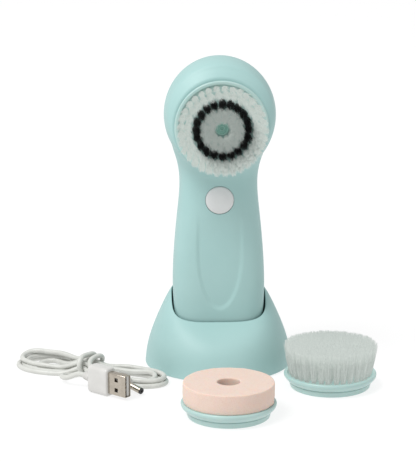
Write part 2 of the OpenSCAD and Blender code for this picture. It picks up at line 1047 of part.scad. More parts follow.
module usb_contacts() {
    color(brass)
        at_usb()
            for (z = [-3.5, -1, 1, 3.5])
                translate([-9.5, -0.05, z - 0.5])
                    cube([8, 0.15, 1]);
}

module dc_plug_overmold() {
    color(white)
        at_dc()
            union() {
                translate([0, 0, -20])
                    cylinder(r = 3.5, h = 10.5);
                translate([0, 0, -25])
                    cylinder(r1 = 1.9, r2 = 2.8, h = 5 + hair);
            }
}

module dc_barrel() {
    color(steel)
        at_dc()
            difference() {
                translate([0, 0, -9.5])
                    cylinder(r = 1.75, h = 8.6);
                translate([0, 0, -8])
                    cylinder(r = 1.1, h = 10);
            }
}

module dc_tip_insulator() {
    color(dark)
        at_dc()
            difference() {
                translate([0, 0, -0.9])
                    cylinder(r = 1.72, h = 0.9);
                translate([0, 0, -2])
                    cylinder(r = 0.65, h = 4);
            }
}

stand_shell();
stand_base_plate();
stand_feet();
stand_screws();
front_housing();
rear_housing();
housing_screws();
power_button();
tactile_switch();
circuit_board();
board_components();
battery_cell();
battery_tabs();
battery_cradle();
dc_jack_body();
dc_jack_pin();
motor_can();
motor_end_cap();
motor_magnets();
motor_leads();
motor_rotor();
motor_pinion();
gearbox_frame();
gearbox_rear_plate();
gearbox_screws();
idler_shaft();
idler_gear();
front_bushing();
rear_bushing();
output_gear();
output_spindle();
spindle_clip();
shaft_seal();
brush_head_base();
brush_hub();
outer_bristles();
black_bristles();
inner_bristles();
sponge_head_base();
sponge_pad();
spare_head_base();
spare_bristles();
cable_hank();
cable_usb_lead();
cable_dc_lead();
cable_tie();
usb_overmold();
usb_shell();
usb_tongue();
usb_contacts();
dc_plug_overmold();
dc_barrel();
dc_tip_insulator();
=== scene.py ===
"""Facial cleansing brush on its stand, with a spare brush head, a sponge head and a USB cable."""

import math

import bmesh
import bpy
import numpy as np
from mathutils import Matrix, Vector
from mathutils.bvhtree import BVHTree


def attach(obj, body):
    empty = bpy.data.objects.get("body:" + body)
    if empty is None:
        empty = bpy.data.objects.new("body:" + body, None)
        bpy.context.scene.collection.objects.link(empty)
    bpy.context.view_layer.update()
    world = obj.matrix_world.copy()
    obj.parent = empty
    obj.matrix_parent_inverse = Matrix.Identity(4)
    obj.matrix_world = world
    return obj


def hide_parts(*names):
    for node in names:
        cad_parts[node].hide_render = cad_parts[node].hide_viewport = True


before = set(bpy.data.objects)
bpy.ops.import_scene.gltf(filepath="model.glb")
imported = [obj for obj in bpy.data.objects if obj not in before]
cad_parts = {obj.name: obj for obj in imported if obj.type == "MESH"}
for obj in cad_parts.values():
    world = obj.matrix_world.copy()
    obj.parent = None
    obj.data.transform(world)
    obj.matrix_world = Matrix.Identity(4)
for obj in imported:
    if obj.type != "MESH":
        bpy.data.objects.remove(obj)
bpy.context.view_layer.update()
MM = 0.001

# ---- Sizes shared with the CAD model, in millimetres ----
SEAM_Y = 3.0
ELBOW_Y, ELBOW_Z = -29.0, 106.0
FACE_TURN = math.radians(87)
FACE_R = 34.7
RIM_S, RECESS_S, HEAD_S = 7.0, 3.0, 4.7
WALL = 2.0
BUTTON_Z, BUTTON_R, BUTTON_TOP = 96.5, 7.7, 18.5
HEAD_R, FOOT_R, FOOT_H, BAND_H = 25.0, 22.0, 2.6, 5.3
HEAD_H = FOOT_H + BAND_H
HEAD_RECESS_R, HEAD_RECESS_D = 22.9, 0.8
HEAD_FLOOR = HEAD_H - HEAD_RECESS_D
SPONGE_AT = (1.2, -93.4, 0.0)
SPARE_AT = (58.5, -46.4, 0.0)
USB_AT = np.array([-51.0, -67.5, 7.75])
DC_AT = np.array([-43.5, -59.5, 2.3])
PLUG_TURN = math.radians(-42)
DC_DIP = math.radians(12)
USB_DIR = np.array([math.cos(PLUG_TURN), math.sin(PLUG_TURN), 0.0])
DC_DIR = np.array([*(USB_DIR[:2] * math.cos(DC_DIP)), -math.sin(DC_DIP)])
CABLE_D = 2.8
HANDSET_Z = 8.0
SCREW_AT = [(-17, 26), (17, 26), (-16.5, 82), (16.5, 82), (-18.5, 130), (18.5, 130)]


# ---- Mesh helpers ----
def srgb(r, g, b):
    """A colour given in 0-255 display values, as the linear values that shaders take."""
    return tuple((c / 12.92 if c <= 0.04045 else ((c + 0.055) / 1.055) ** 2.4)
                 for c in (r / 255, g / 255, b / 255)) + (1.0,)


def add_object(name, mesh, mat=None):
    """Puts a mesh in the scene, with one material if it is given."""
    obj = bpy.data.objects.new(name, mesh)
    bpy.context.scene.collection.objects.link(obj)
    if mat is not None:
        mesh.materials.clear()
        mesh.materials.append(mat)
    return obj


def soften(mesh, angle=32):
    """Smooth shading, with edges sharper than the angle kept crisp."""
    mesh.polygons.foreach_set("use_smooth", [True] * len(mesh.polygons))
    mesh.set_sharp_from_angle(angle=math.radians(angle))


def build(name, verts, faces, mat=None, angle=32):
    """A mesh object from points in millimetres, its faces turned outwards."""
    mesh = bpy.data.meshes.new(name)
    mesh.from_pydata((np.asarray(verts, float) * MM).tolist(), [], faces)
    bm = bmesh.new()
    bm.from_mesh(mesh)
    bmesh.ops.remove_doubles(bm, verts=bm.verts, dist=1e-6)
    bmesh.ops.recalc_face_normals(bm, faces=bm.faces)
    bm.to_mesh(mesh)
    bm.free()
    soften(mesh, angle)
    return add_object(name, mesh, mat)


def ring_faces(rings, count, closed=False):
    """Quads between rings of equal length, and a cap on each end unless the rings close on themselves."""
    faces = []
    span = rings if closed else rings - 1
    for r in range(span):
        a, b = r * count, ((r + 1) % rings) * count
        for k in range(count):
            n = (k + 1) % count
            faces.append((a + k, a + n, b + n, b + k))
    if not closed:
        faces.append(tuple(range(count - 1, -1, -1)))
        faces.append(tuple((rings - 1) * count + k for k in range(count)))
    return faces


def lathe(name, profile, mat=None, place=None, count=128, closed=False, shape=None, angle=32):
    """A turned form. profile is a list of (radius, height); shape(radius, angle) may vary the radius."""
    verts = []
    for index, (radius, height) in enumerate(profile):
        for k in range(count):
            a = 2 * math.pi * k / count
            r = shape(index, radius, a) if shape else radius
            verts.append((r * math.cos(a), r * math.sin(a), height))
    verts = np.array(verts)
    if place is not None:
        verts = place(verts)
    return build(name, verts, ring_faces(len(profile), count, closed), mat, angle)


def fillet(corner, start, end, steps=5):
    """Points of a soft corner between two points, bent towards the corner."""
    c, s, e = (np.array(p, float) for p in (corner, start, end))
    return [tuple((1 - t) ** 2 * s + 2 * t * (1 - t) * c + t * t * e)
            for t in np.linspace(0, 1, steps + 1)]


def rounded_profile(points, radii, steps=5):
    """A profile with each inner corner rounded by its radius."""
    out = [tuple(points[0])]
    for before, here, after, radius in zip(points, points[1:], points[2:], radii[1:]):
        b, h, a = (np.array(p, float) for p in (before, here, after))
        if radius <= 0:
            out.append(tuple(h))
            continue
        to_b, to_a = b - h, a - h
        r1 = min(radius, 0.48 * np.linalg.norm(to_b))
        r2 = min(radius, 0.48 * np.linalg.norm(to_a))
        out += fillet(h, h + to_b / np.linalg.norm(to_b) * r1, h + to_a / np.linalg.norm(to_a) * r2, steps)
    return out + [tuple(points[-1])]


def at(origin):
    """A move from the piece's own origin to its place."""
    return lambda v: v + np.array(origin, float)


def on_face(v):
    """From the brush axis frame (across, up, outward) to the shared frame."""
    c, s = math.cos(FACE_TURN), math.sin(FACE_TURN)
    y = ELBOW_Y + FACE_R * c + v[:, 1] * c - v[:, 2] * s
    z = ELBOW_Z + FACE_R * s + v[:, 1] * s + v[:, 2] * c
    return np.column_stack([v[:, 0], y, z])


def on_front(v):
    """Lathe axis turned to point out of the handle's front, at the button."""
    return np.column_stack([v[:, 0], -v[:, 2], v[:, 1] + BUTTON_Z])


def along(origin, direction):
    """Lathe axis turned to point along a plug."""
    side = np.array([-USB_DIR[1], USB_DIR[0], 0])
    up = np.cross(direction, side)
    return lambda v: origin + np.outer(v[:, 2], direction) + np.outer(v[:, 0], side) + np.outer(v[:, 1], up)


def carve(obj, cutter, operation="DIFFERENCE"):
    """Boolean with a cutter, which is used up."""
    mod = obj.modifiers.new("carve", "BOOLEAN")
    mod.operation = operation
    mod.object = cutter
    mod.solver = "MANIFOLD"
    bpy.context.view_layer.update()
    graph = bpy.context.evaluated_depsgraph_get()
    mesh = bpy.data.meshes.new_from_object(obj.evaluated_get(graph))
    obj.modifiers.clear()
    old = obj.data
    obj.data = mesh
    bpy.data.meshes.remove(old)
    spare = cutter.data
    bpy.data.objects.remove(cutter)
    bpy.data.meshes.remove(spare)


def block(name, low, high):
    """A plain cutting box."""
    corners = [(x, y, z) for x in (low[0], high[0]) for y in (low[1], high[1]) for z in (low[2], high[2])]
    faces = [(0, 1, 3, 2), (4, 6, 7, 5), (0, 4, 5, 1), (2, 3, 7, 6), (0, 2, 6, 4), (1, 5, 7, 3)]
    return build(name, corners, faces)


# ---- Materials ----
def new_material(name):
    """A plain material, with its node tree and its shader."""
    mat = bpy.data.materials.new(name)
    mat.use_nodes = True
    return mat, mat.node_tree, mat.node_tree.nodes["Principled BSDF"]


def noise(tree, scale, detail=3.0, stretch=None):
    """A noise texture that stays with the piece, stretched along axes if asked."""
    place = tree.nodes.new("ShaderNodeTexCoord")
    tex = tree.nodes.new("ShaderNodeTexNoise")
    tex.inputs["Scale"].default_value = scale
    tex.inputs["Detail"].default_value = detail
    if stretch is None:
        tree.links.new(place.outputs["Object"], tex.inputs["Vector"])
    else:
        mapping = tree.nodes.new("ShaderNodeMapping")
        mapping.inputs["Scale"].default_value = stretch
        tree.links.new(place.outputs["Object"], mapping.inputs["Vector"])
        tree.links.new(mapping.outputs["Vector"], tex.inputs["Vector"])
    return tex


def tint(tree, factor, socket, low, high, start=0.35, stop=0.65):
    """Colours a socket from a factor, between two close colours."""
    ramp = tree.nodes.new("ShaderNodeValToRGB")
    ramp.color_ramp.elements[0].position = start
    ramp.color_ramp.elements[0].color = low
    ramp.color_ramp.elements[1].position = stop
    ramp.color_ramp.elements[1].color = high
    tree.links.new(factor, ramp.inputs["Fac"])
    tree.links.new(ramp.outputs["Color"], socket)


def vary(tree, factor, socket, low, high):
    """Drives a value socket between two values from a factor."""
    ranged = tree.nodes.new("ShaderNodeMapRange")
    ranged.inputs["From Min"].default_value = 0.3
    ranged.inputs["From Max"].default_value = 0.7
    ranged.inputs["To Min"].default_value = low
    ranged.inputs["To Max"].default_value = high
    tree.links.new(factor, ranged.inputs["Value"])
    tree.links.new(ranged.outputs["Result"], socket)


def emboss(tree, height, shader, strength, distance):
    """Turns a height value into fine relief."""
    bump = tree.nodes.new("ShaderNodeBump")
    bump.inputs["Strength"].default_value = strength
    bump.inputs["Distance"].default_value = distance
    tree.links.new(height, bump.inputs["Height"])
    tree.links.new(bump.outputs["Normal"], shader.inputs["Normal"])


def finish_material(name, low, high, scale=60.0, rough=(0.3, 0.36), grain=2500.0, strength=0.04,
                    depth=0.00005, metallic=0.0, stretch=None, **sockets):
    """A mottled surface with a fine grain. Extra sockets are set on the shader itself."""
    mat, tree, shader = new_material(name)
    shader.inputs["Metallic"].default_value = metallic
    for key, value in sockets.items():
        shader.inputs[key.replace("_", " ")].default_value = value
    broad = noise(tree, scale, 3.0, stretch)
    tint(tree, broad.outputs["Fac"], shader.inputs["Base Color"], low, high)
    fine = noise(tree, grain, 2.0, stretch)
    vary(tree, fine.outputs["Fac"], shader.inputs["Roughness"], *rough)
    emboss(tree, fine.outputs["Fac"], shader, strength, depth)
    return mat


def sponge_material():
    """Fine open foam: pale peach with small darker pores."""
    mat, tree, shader = new_material("foam")
    shader.inputs["Roughness"].default_value = 0.95
    shader.inputs["Specular IOR Level"].default_value = 0.15
    shader.inputs["Subsurface Weight"].default_value = 0.35
    shader.inputs["Subsurface Radius"].default_value = (1.0, 0.5, 0.3)
    shader.inputs["Subsurface Scale"].default_value = 0.003
    place = tree.nodes.new("ShaderNodeTexCoord")
    cells = tree.nodes.new("ShaderNodeTexVoronoi")
    cells.inputs["Scale"].default_value = 2600
    tree.links.new(place.outputs["Object"], cells.inputs["Vector"])
    tint(tree, cells.outputs["Distance"], shader.inputs["Base Color"],
         srgb(220, 199, 187), srgb(213, 188, 174), 0.35, 0.95)
    emboss(tree, cells.outputs["Distance"], shader, 0.12, 0.0001)
    return mat


def board_material():
    """Green solder mask with lighter copper tracks under it."""
    mat, tree, shader = new_material("circuit_board")
    place = tree.nodes.new("ShaderNodeTexCoord")
    tracks = tree.nodes.new("ShaderNodeTexBrick")
    tracks.inputs["Scale"].default_value = 260
    tracks.inputs["Mortar Size"].default_value = 0.06
    tracks.inputs["Color1"].default_value = srgb(24, 92, 58)
    tracks.inputs["Color2"].default_value = srgb(30, 102, 64)
    tracks.inputs["Mortar"].default_value = srgb(70, 140, 92)
    tree.links.new(place.outputs["Object"], tracks.inputs["Vector"])
    tree.links.new(tracks.outputs["Color"], shader.inputs["Base Color"])
    emboss(tree, tracks.outputs["Fac"], shader, 0.2, 0.00005)
    shader.inputs["Roughness"].default_value = 0.4
    return mat


MINT = finish_material("mint_plastic", srgb(155, 190, 188), srgb(159, 193, 191), 40, (0.5, 0.56))
MINT_HEAD = finish_material("mint_head_plastic", srgb(168, 197, 193), srgb(173, 201, 197), 60,
                            (0.28, 0.36), Subsurface_Weight=0.05, Subsurface_Scale=0.002)
MINT_DEEP = finish_material("mint_base_plastic", srgb(140, 178, 174), srgb(146, 183, 179), 90,
                            (0.42, 0.5))
BUTTON = finish_material("button_plastic", srgb(207, 209, 209), srgb(211, 213, 213), 120, (0.3, 0.36))
WHITE_PLUG = finish_material("plug_plastic", srgb(200, 199, 196), srgb(206, 205, 202), 150,
                             (0.32, 0.4))
JACKET = finish_material("cable_jacket", srgb(196, 197, 192), srgb(206, 207, 202), 180, (0.34, 0.42),
                         1800, 0.06)
# White strands with a weak painted glow: it stands in for light passing through the translucent strands and
# lifts the shade between them
GLOWING_FILAMENT = finish_material("white_filament_painted_glow", srgb(174, 181, 177), srgb(186, 191, 187), 900, (0.45, 0.6),
                           Emission_Color=(0.92, 1.0, 0.96, 1), Emission_Strength=0.16)
# Mint post with a faint painted glow, which lifts it out of the shade among the bristles
GLOWING_POST = finish_material("mint_post_painted_glow", srgb(160, 205, 195), srgb(166, 210, 200), 90, (0.42, 0.5),
                       Emission_Color=(0.4, 0.62, 0.54, 1), Emission_Strength=0.05)
BLACK_FILAMENT = finish_material("black_filament", srgb(8, 9, 8), srgb(22, 23, 21), 900,
                                 (0.35, 0.5))
NICKEL = finish_material("plug_nickel", srgb(176, 168, 156), srgb(188, 180, 168), 300, (0.2, 0.3),
                         3000, 0.05, metallic=1.0)
STEEL = finish_material("screw_steel", srgb(150, 150, 150), srgb(176, 176, 176), 400, (0.25, 0.4),
                        metallic=1.0)
SHAFT = finish_material("shaft_steel", srgb(178, 180, 182), srgb(196, 198, 200), 300, (0.12, 0.22),
                        metallic=1.0, stretch=(4, 4, 60))
CAN = finish_material("motor_steel", srgb(150, 152, 154), srgb(172, 174, 176), 120, (0.28, 0.4),
                      metallic=1.0, stretch=(40, 40, 4))
BRASS = finish_material("turned_brass", srgb(186, 148, 78), srgb(206, 168, 92), 300, (0.2, 0.32),
                        metallic=1.0)
COPPER = finish_material("wound_copper", srgb(150, 78, 44), srgb(196, 112, 66), 900, (0.3, 0.42),
                         metallic=1.0, stretch=(1, 1, 12))
GEAR = finish_material("gear_acetal", srgb(226, 222, 208), srgb(238, 234, 222), 200, (0.36, 0.46))
FRAME_PLASTIC = finish_material("frame_plastic", srgb(196, 198, 196), srgb(210, 212, 210), 160,
                                (0.45, 0.55))
DARK = finish_material("dark_plastic", srgb(24, 24, 25), srgb(38, 38, 40), 300, (0.38, 0.5))
RUBBER = finish_material("soft_rubber", srgb(30, 31, 31), srgb(44, 45, 45), 500, (0.65, 0.8), 1500,
                         0.12)
WRAP = finish_material("battery_wrap", srgb(60, 110, 168), srgb(70, 122, 182), 120, (0.22, 0.32))
MAGNET = finish_material("ferrite", srgb(52, 50, 50), srgb(70, 68, 68), 800, (0.55, 0.7))
RED_LEAD = finish_material("lead_red", srgb(170, 36, 32), srgb(188, 48, 40), 300, (0.4, 0.5))
FOAM = sponge_material()
BOARD = board_material()


# ---- Camera, light and floor ----
def make_camera():
    """The photo's viewpoint, in metres."""
    cam = bpy.data.cameras.new("camera")
    cam.lens = 174.94
    cam.sensor_width = 36
    obj = bpy.data.objects.new("camera", cam)
    obj.location = (-0.05585, -1.1989, 0.3851)
    look = Vector((0.0405, 0.9673, -0.2502))
    obj.rotation_euler = look.to_track_quat("-Z", "Y").to_euler()
    bpy.context.scene.collection.objects.link(obj)
    bpy.context.scene.camera = obj


def area_light(name, place, aim, size, power):
    """A round lamp at a place, aimed at a point, in metres."""
    data = bpy.data.lights.new(name, "AREA")
    data.shape = "DISK"
    data.size = size
    data.energy = power
    obj = bpy.data.objects.new(name, data)
    obj.location = place
    obj.rotation_euler = (Vector(aim) - Vector(place)).to_track_quat("-Z", "Y").to_euler()
    bpy.context.scene.collection.objects.link(obj)


def make_studio():
    """Even white light, brighter to the camera than to the pieces, one softbox and a glowing floor."""
    world = bpy.data.worlds.new("studio")
    world.use_nodes = True
    sky = world.node_tree.nodes["Background"]
    sky.inputs["Color"].default_value = (1, 1, 1, 1)
    path = world.node_tree.nodes.new("ShaderNodeLightPath")
    level = world.node_tree.nodes.new("ShaderNodeMapRange")
    level.inputs["To Min"].default_value = 0.72
    level.inputs["To Max"].default_value = 1.0
    world.node_tree.links.new(path.outputs["Is Camera Ray"], level.inputs["Value"])
    world.node_tree.links.new(level.outputs["Result"], sky.inputs["Strength"])
    bpy.context.scene.world = world
    bpy.context.scene.view_settings.view_transform = "Standard"
    bpy.context.scene.cycles.diffuse_bounces = 10
    area_light("key_softbox", (-0.75, -0.6, 1.45), (0, -0.02, 0.07), 0.8, 19)
    mat = finish_material("studio_floor", srgb(120, 120, 120), srgb(122, 122, 122), 2, (0.6, 0.7),
                          Emission_Color=(1, 1, 1, 1), Emission_Strength=0.78)
    mat.cycles.emission_sampling = "NONE"
    side, near, far = 6000, -6000, 9000
    floor = build("studio_floor", [(-side, near, 0), (side, near, 0), (side, far, 0), (-side, far, 0)],
                  [(0, 1, 2, 3)], mat)


# ---- Cable ----
HANK_LEFT = np.array([-98.5, -7.2, 0.0])
HANK_RIGHT = np.array([-41.5, -37.9, 0.0])
HANK_MID = (HANK_LEFT + HANK_RIGHT) / 2
HANK_U = (HANK_RIGHT - HANK_LEFT) / np.linalg.norm(HANK_RIGHT - HANK_LEFT)
HANK_W = np.array([-HANK_U[1], HANK_U[0], 0.0])
TIE_U = -3.0
# Each turn: left tip, left half width, left front and back height, then the same on the right
TURNS = [
    (-45.5, 12.0, 1.4, 4.4, 45.5, 10.0, 1.6, 1.6),
    (-43.0, 10.0, 4.4, 8.0, 42.0, 7.5, 4.2, 4.4),
    (-45.0, 6.5, 6.6, 11.0, 44.0, 9.5, 6.6, 5.6),
    (-36.0, 3.5, 4.6, 6.2, 39.0, 5.5, 5.0, 7.0),
]
# Where each turn's front and back run lies in the cross-section at the tie
TIE_SLOTS = [((-4.2, 4.2), (4.2, 4.2)), ((-1.4, 4.2), (1.4, 4.2)),
             ((-2.8, 6.7), (2.8, 6.7)), ((0.0, 6.7), (1.2, 9.1))]
LOBE = ((0.3, 0.8, 0.0), (0.6, 1.0, 0.0), (0.87, 0.75, 0.15), (1.0, 0.0, 0.5))
LOBE_BACK = ((0.87, 0.75, 0.85), (0.6, 1.0, 1.0), (0.3, 0.8, 1.0))
USB_RELIEF_END = 30.9
DC_RELIEF_END = 25.0


def hank_point(u, w, z):
    """A point along, across and above the middle of the hank."""
    return HANK_MID + u * HANK_U + w * HANK_W + np.array([0, 0, z])


def cable_guide():
    """The points that the cable is laid through, from the small plug to the large one."""
    dc_end = DC_AT - DC_RELIEF_END * DC_DIR
    guide = [dc_end, dc_end - 3.0 * DC_DIR, dc_end - 7.5 * USB_DIR + [0.5, 0, 0.7],
             hank_point(7.3, -9.7, 6.4)]
    for turn, ((front_w, front_z), (back_w, back_z)) in zip(TURNS, TIE_SLOTS):
        left, left_w, left_front, left_back, right, right_w, right_front, right_back = turn
        span = left - TIE_U
        rise = left_back - left_front
        guide += [hank_point(TIE_U, front_w, front_z)]
        guide += [hank_point(TIE_U + span * f, -left_w * g, left_front + rise * h) for f, g, h in LOBE]
        guide += [hank_point(TIE_U + span * f, left_w * g, left_front + rise * h) for f, g, h in LOBE_BACK]
        guide += [hank_point(TIE_U, back_w, back_z)]
        span = right - TIE_U
        rise = right_front - right_back
        guide += [hank_point(TIE_U + span * f, right_w * g, right_back + rise * h) for f, g, h in LOBE]
        back = LOBE_BACK if turn is not TURNS[-1] else LOBE_BACK[:-1]
        guide += [hank_point(TIE_U + span * f, -right_w * g, right_back + rise * h) for f, g, h in back]
    guide += [hank_point(8.0, -8.5, 6.5)]
    for k in range(9):
        a = math.radians(180 - 90 * k)
        guide += [hank_point(2.5 - 1.15 * k, 9.2 * math.cos(a), 6.4 + 5.2 * math.sin(a))]
    return guide + [hank_point(-9.0, -12.5, 6.6), hank_point(-9.5, -17.5, 7.2),
                    hank_point(-5.0, -21.5, 7.6), hank_point(1.5, -22.6, 7.75),
                    USB_AT - USB_RELIEF_END * USB_DIR]


def spline_through(points, spacing, sub=24):
    """Centripetal curve through points, resampled evenly."""
    points = np.array(points, float)
    padded = np.vstack([2 * points[0] - points[1], points, 2 * points[-1] - points[-2]])
    out = []
    for i in range(len(points) - 1):
        p0, p1, p2, p3 = padded[i:i + 4]
        d = [max(np.linalg.norm(b - a), 1e-6) ** 0.5 for a, b in ((p0, p1), (p1, p2), (p2, p3))]
        t1, t2, t3 = d[0], d[0] + d[1], sum(d)
        for k in range(sub):
            t = t1 + (t2 - t1) * k / sub
            a1 = (t1 - t) / t1 * p0 + t / t1 * p1
            a2 = (t2 - t) / (t2 - t1) * p1 + (t - t1) / (t2 - t1) * p2
            a3 = (t3 - t) / (t3 - t2) * p2 + (t - t2) / (t3 - t2) * p3
            b1 = (t2 - t) / t2 * a1 + t / t2 * a2
            b2 = (t3 - t) / (t3 - t1) * a2 + (t - t1) / (t3 - t1) * a3
            out.append((t2 - t) / (t2 - t1) * b1 + (t - t1) / (t2 - t1) * b2)
    out = np.array(out + [points[-1]])
    along = np.concatenate([[0], np.cumsum(np.linalg.norm(np.diff(out, axis=0), axis=1))])
    where = np.linspace(0, along[-1], int(round(along[-1] / spacing)) + 1)
    return np.column_stack([np.interp(where, along, out[:, k]) for k in range(3)])


def settle_cable(points, steps=500, gap=2.95, bend=7.45):
    """Lets the laid cable settle: runs push apart, bends open up, and nothing sinks into the floor."""
    p = points.copy()
    fixed = np.zeros(len(p), bool)
    fixed[:3] = fixed[-3:] = True
    rest = np.linalg.norm(np.diff(p, axis=0), axis=1).mean()
    first, second = np.triu_indices(len(p), 5)
    for step in range(steps):
        if step % 8 == 0:
            close = ((p[first] - p[second]) ** 2).sum(axis=1) < 36
            i, j = first[close], second[close]
        q = p.copy()
        q[2:-2] += 0.15 * ((p[1:-3] + p[3:-1]) * 2 / 3 - (p[:-4] + p[4:]) / 6 - p[2:-2])
        if step < steps * 0.8:
            q[:, 2] -= 0.01
        for _ in range(4):
            apart = q[j] - q[i]
            dist = np.linalg.norm(apart, axis=1)
            near = dist < gap
            push = apart[near] * ((gap - dist[near]) / np.maximum(dist[near], 1e-6) * 0.35)[:, None]
            np.add.at(q, i[near], -push)
            np.add.at(q, j[near], push)
            arm = q[4:] - q[:-4]
            reach = np.linalg.norm(arm, axis=1)
            open_up = arm * (np.maximum(0, bend - reach) / reach * 0.25)[:, None]
            q[4:] += open_up
            q[:-4] -= open_up
            seg = np.diff(q, axis=0)
            length = np.linalg.norm(seg, axis=1)
            fix = seg * ((length - rest) / length * 0.5)[:, None]
            q[:-1] += fix
            q[1:] -= fix
            q[:, 2] = np.maximum(q[:, 2], CABLE_D / 2)
            q[fixed] = points[fixed]
        p = q
    return p


def make_cable():
    """One continuous lead, coiled, wrapped round itself and ending in both plugs."""
    path = settle_cable(spline_through(cable_guide(), 2.0))
    path = spline_through(path, 0.7, 6)
    curve = bpy.data.curves.new("charging_cable", "CURVE")
    curve.dimensions = "3D"
    curve.bevel_depth = CABLE_D / 2 * MM
    curve.bevel_resolution = 5
    curve.use_fill_caps = True
    line = curve.splines.new("POLY")
    line.points.add(len(path) - 1)
    for point, where in zip(line.points, path):
        point.co = (*(where * MM), 1)
    curve.materials.append(JACKET)
    cable = bpy.data.objects.new("charging_cable", curve)
    bpy.context.scene.collection.objects.link(cable)
    return cable, [float(c) * MM for c in path[0]]


def rounded_rect(half_y, half_z, radius, steps=6):
    """Outline points of a rounded rectangle."""
    out = []
    for q, (sy, sz) in enumerate(((1, 1), (-1, 1), (-1, -1), (1, -1))):
        for k in range(steps + 1):
            a = math.pi / 2 * (q + k / steps)
            out.append((sy * (half_y - radius) + radius * math.cos(a),
                        sz * (half_z - radius) + radius * math.sin(a)))
    return out


def plug_rings(origin, rows):
    """Rounded rectangle rings along a plug: [distance, half thickness, half height, corner radius]."""
    turn = PLUG_TURN
    verts = []
    for x, half_y, half_z, radius in rows:
        for y, z in rounded_rect(half_y, half_z, radius):
            verts.append((origin[0] + x * math.cos(turn) - y * math.sin(turn),
                          origin[1] + x * math.sin(turn) + y * math.cos(turn), origin[2] + z))
    return verts


def make_usb_plug():
    """The large plug: grip, ribbed strain relief and a metal shell with two windows."""
    rows = [(-26.0, 2.6, 6.2, 1.6), (-25.8, 3.2, 6.9, 1.9), (-25.2, 3.7, 7.4, 2.2), (-24.2, 3.95, 7.7, 2.4),
            (-23.0, 4.0, 7.75, 2.4), (-13.4, 4.0, 7.75, 2.4), (-12.7, 3.9, 7.65, 2.3),
            (-12.2, 3.6, 7.35, 2.1), (-12.0, 3.2, 6.95, 1.8)]
    per = len(rounded_rect(1, 1, 0.5))
    grip = build("usb_grip", plug_rings(USB_AT, rows), ring_faces(len(rows), per), WHITE_PLUG, 40)
    relief = [(0.5, -26.2), (3.0, -26.2)]
    for k in range(5):
        x = -26.6 - 0.86 * k
        r = 2.95 - 0.17 * k
        relief += [(r, x), (r - 0.05, x - 0.42), (r - 0.3, x - 0.5), (r - 0.3, x - 0.78)]
    relief += [(2.0, -30.6), (1.75, -30.9), (0.5, -30.9)]
    sleeve = lathe("usb_relief", relief, WHITE_PLUG, along(USB_AT, USB_DIR), 48, angle=40)
    outer = [(-12.0, 2.25, 6.0, 0.7), (-0.25, 2.25, 6.0, 0.7), (0.0, 2.12, 5.87, 0.6)]
    inner = [(0.0, 1.98, 5.73, 0.5), (-0.2, 1.95, 5.7, 0.45), (-11.6, 1.95, 5.7, 0.45)]
    shell = build("usb_metal", plug_rings(USB_AT, outer + inner), ring_faces(6, per), NICKEL, 40)
    window = [(-7.4, 5.0, 1.1, 0.25), (-5.1, 5.0, 1.1, 0.25)]
    for z in (-2.8, 2.8):
        cutter = build("window_cutter", plug_rings(USB_AT + np.array([0, 0, z]), window), ring_faces(2, per))
        carve(shell, cutter)
    soften(shell.data, 40)
    for obj, node, slot in ((grip, "usb_overmold", "plug_plastic"), (sleeve, "usb_overmold", "plug_plastic"),
                            (shell, "usb_shell", "plug_metal")):
        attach(obj, "stand")
        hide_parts(node)
    return [grip, sleeve, shell]


def make_dc_plug():
    """The small round plug: grip, ribbed strain relief, metal barrel and dark tip."""
    grip_profile = rounded_profile([(0.5, -20.4), (3.1, -20.4), (3.5, -19.6), (3.5, -9.5), (0.5, -9.5)],
                                   [0, 0.5, 0.4, 0.6, 0])
    relief = [(0.5, -20.3), (2.75, -20.3)]
    for k in range(4):
        x = -20.8 - k * 1.0
        r = 2.7 - 0.2 * k
        relief += [(r, x), (r - 0.05, x - 0.5), (r - 0.35, x - 0.58), (r - 0.35, x - 0.9)]
    relief += [(1.8, -24.8), (1.6, -25.0), (0.5, -25.0)]
    barrel_profile = [(0.6, -9.6), (1.75, -9.6), (1.75, -1.05), (1.68, -0.9), (1.1, -0.9), (1.1, -8.0),
                      (0.6, -8.0)]
    tip_profile = [(0.65, -0.95), (1.72, -0.95), (1.72, -0.25), (1.55, -0.02), (1.3, 0.0), (0.8, 0.0),
                   (0.65, -0.15), (0.65, -0.95)]
    place = along(DC_AT, DC_DIR)
    grip = lathe("dc_grip", grip_profile, WHITE_PLUG, place, 64, angle=40)
    sleeve = lathe("dc_relief", relief, WHITE_PLUG, place, 48, angle=40)
    barrel = lathe("dc_sleeve", barrel_profile, NICKEL, place, 64, angle=40)
    tip = lathe("dc_tip", tip_profile, DARK, place, 64, angle=40)
    for obj, node, slot in ((grip, "dc_plug_overmold", "plug_plastic"),
                            (sleeve, "dc_plug_overmold", "plug_plastic"), (barrel, "dc_barrel", "plug_metal"),
                            (tip, "dc_tip_insulator", "dark_plastic")):
        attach(obj, "stand")
        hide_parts(node)
    return [grip, sleeve, barrel, tip]


# ---- Handset ----
# Handle: height, centre y, half width, half depth, squareness of the back and of the front
HANDLE_ROWS = [(8, .5, 20.9, 15.6, 2.6, 4), (9.4, .5, 22.6, 17.2, 2.6, 4), (13, .5, 23.6, 18.1, 2.6, 4),
               (21, .4, 24.3, 18.7, 2.6, 4), (32, .2, 24.8, 19.1, 2.6, 4), (48, 0, 25.3, 19.2, 2.6, 4),
               (66, 0, 24.5, 18.6, 2.6, 3.8), (84, 0, 22.9, 17.6, 2.5, 3.4), (97, 0, 21.5, 17, 2.4, 3)]
